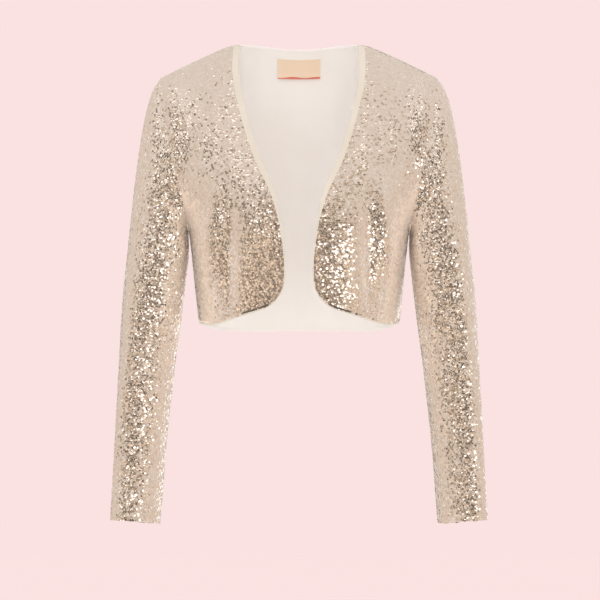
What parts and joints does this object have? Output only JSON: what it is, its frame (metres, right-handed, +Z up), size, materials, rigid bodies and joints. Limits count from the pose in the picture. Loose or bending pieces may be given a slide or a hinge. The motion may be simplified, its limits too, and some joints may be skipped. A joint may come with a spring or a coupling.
{
  "type": "sequin bolero shrug",
  "caption": "Cropped open-front shrug of sequinned cloth with long set-in sleeves, rounded fronts and a smooth lined body, in the hollow form it has when worn.",
  "frame": {"origin": "midway between the two neck points of the shoulder seams, where the wearer's shoulders carry the garment", "axes": "+Z up, -Y to the front of the garment, +X to the wearer's left"},
  "size_m": [0.4964, 0.2306, 0.6391],
  "materials": {
    "sequinned_cloth": "champagne mesh covered with small round metallic sequins",
    "lining": "smooth cream woven lining",
    "edging": "smooth champagne fold along the front edge",
    "label": "bare peach-cream satin label with a plain red lower edge"
  },
  "bodies": {
    "root": {"back": "sequinned_cloth", "back_lining": "lining", "front_left": "sequinned_cloth", "front_band_left": "edging", "front_lining_left": "lining", "sleeve_left": "sequinned_cloth", "front_right": "sequinned_cloth", "front_band_right": "edging", "front_lining_right": "lining", "sleeve_right": "sequinned_cloth", "neck_label": "label"}
  },
  "joints": []
}
